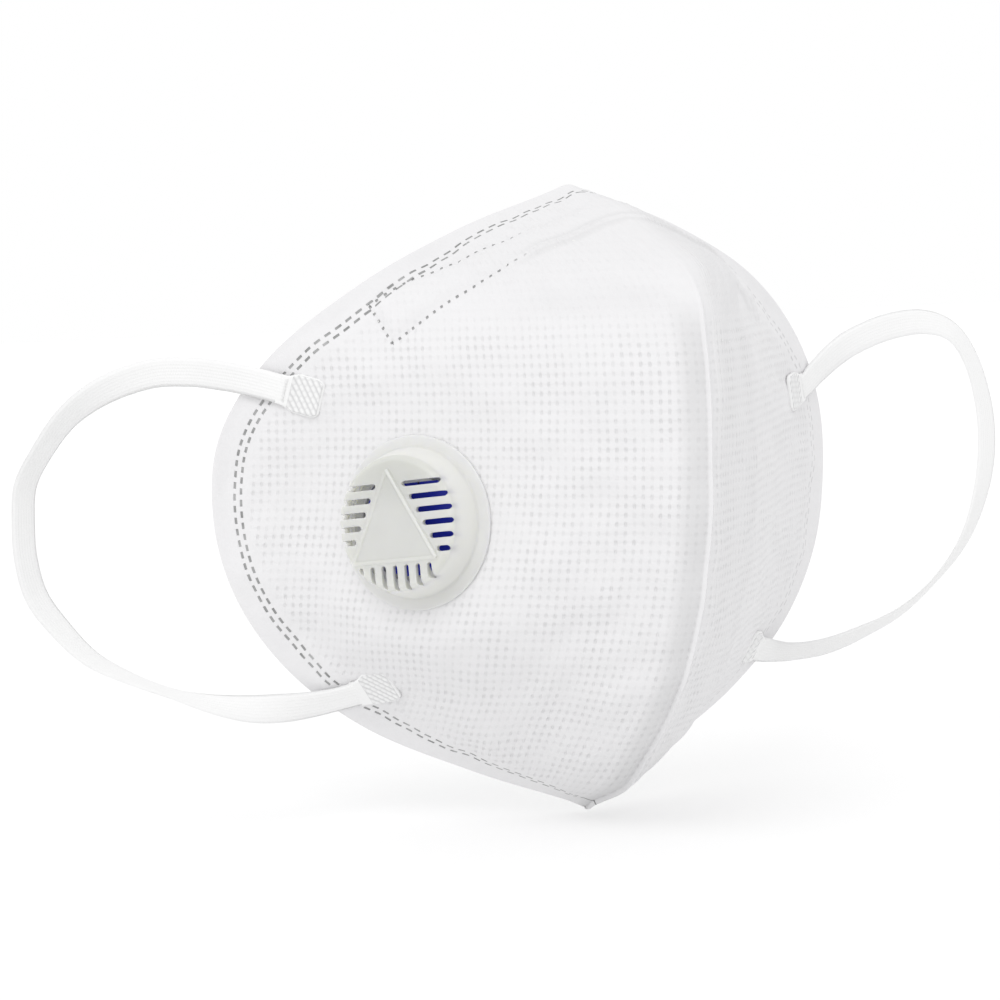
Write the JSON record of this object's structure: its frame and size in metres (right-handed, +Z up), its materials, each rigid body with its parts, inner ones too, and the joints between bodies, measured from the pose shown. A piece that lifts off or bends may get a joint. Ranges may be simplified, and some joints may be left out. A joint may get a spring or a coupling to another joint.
{
  "type": "disposable dust mask",
  "caption": "Opened fold-flat dust mask of layered nonwoven fabric with a front fold, nose wire, side exhalation valve and flat elastic ear loops, worn over the nose and mouth.",
  "frame": {"origin": "middle of the straight line from the nose end to the chin end of the face seal, where the wearer's face meets the mask", "axes": "+Z up from chin to nose, +Y backwards into the wearer's face, +X towards the wearer's left; the mask's front faces -Y"},
  "size_m": [0.2652, 0.1144, 0.1519],
  "materials": {
    "outer_fabric": "white spunbond nonwoven with a grid of fine embossed dots",
    "filter_fabric": "smooth white melt-blown nonwoven",
    "support_fabric": "lofty white hot-air cotton",
    "lining_fabric": "soft white spunbond nonwoven",
    "elastic": "white flat knitted elastic",
    "weld_tab": "white elastic pressed with a cross-hatched ultrasonic weld",
    "valve_plastic": "warm white moulded polypropylene, satin",
    "flap_rubber": "dark blue silicone sheet",
    "nose_wire": "bare soft aluminium strip"
  },
  "bodies": {
    "right_half": {"right_outer_cover": "outer_fabric", "right_filter_layer": "filter_fabric", "right_support_layer": "support_fabric", "right_inner_lining": "lining_fabric", "nose_wire_right": "nose_wire", "valve_cover": "valve_plastic", "valve_seat": "valve_plastic", "valve_clip": "valve_plastic", "right_upper_tab": "weld_tab", "right_lower_tab": "weld_tab"},
    "left_half": {"left_outer_cover": "outer_fabric", "left_filter_layer": "filter_fabric", "left_support_layer": "support_fabric", "left_inner_lining": "lining_fabric", "nose_wire_left": "nose_wire", "left_upper_tab": "weld_tab", "left_lower_tab": "weld_tab"},
    "diaphragm": {"valve_diaphragm": "flap_rubber"},
    "right_loop": {"right_ear_loop": "elastic"},
    "left_loop": {"left_ear_loop": "elastic"}
  },
  "joints": [
    {"name": "fold_hinge", "type": "hinge", "parent": "right_half", "child": "left_half", "pos_m": [0, -0.0712, 0], "axis": [0, 0, -1], "range_deg": [0, 20], "stiffness_Nm_per_rad": 0.005},
    {"name": "flap_hinge", "type": "hinge", "parent": "right_half", "child": "diaphragm", "pos_m": [-0.04931, -0.01292, 0.00798], "axis": [-0.5919, 0.7992, -0.1041], "range_deg": [0, 12], "stiffness_Nm_per_rad": 0.0001},
    {"name": "right_loop_swing", "type": "hinge", "parent": "right_half", "child": "right_loop", "pos_m": [-0.07, 0.0135, 0.0268], "axis": [-0.1977, 0.0127, 0.9802], "range_deg": [-15, 60], "stiffness_Nm_per_rad": 0.0005, "deforming": ["right_ear_loop"]},
    {"name": "left_loop_swing", "type": "hinge", "parent": "left_half", "child": "left_loop", "pos_m": [0.07, 0.0135, 0.0268], "axis": [-0.1977, -0.0127, -0.9802], "range_deg": [-15, 60], "stiffness_Nm_per_rad": 0.0005, "deforming": ["left_ear_loop"]}
  ]
}
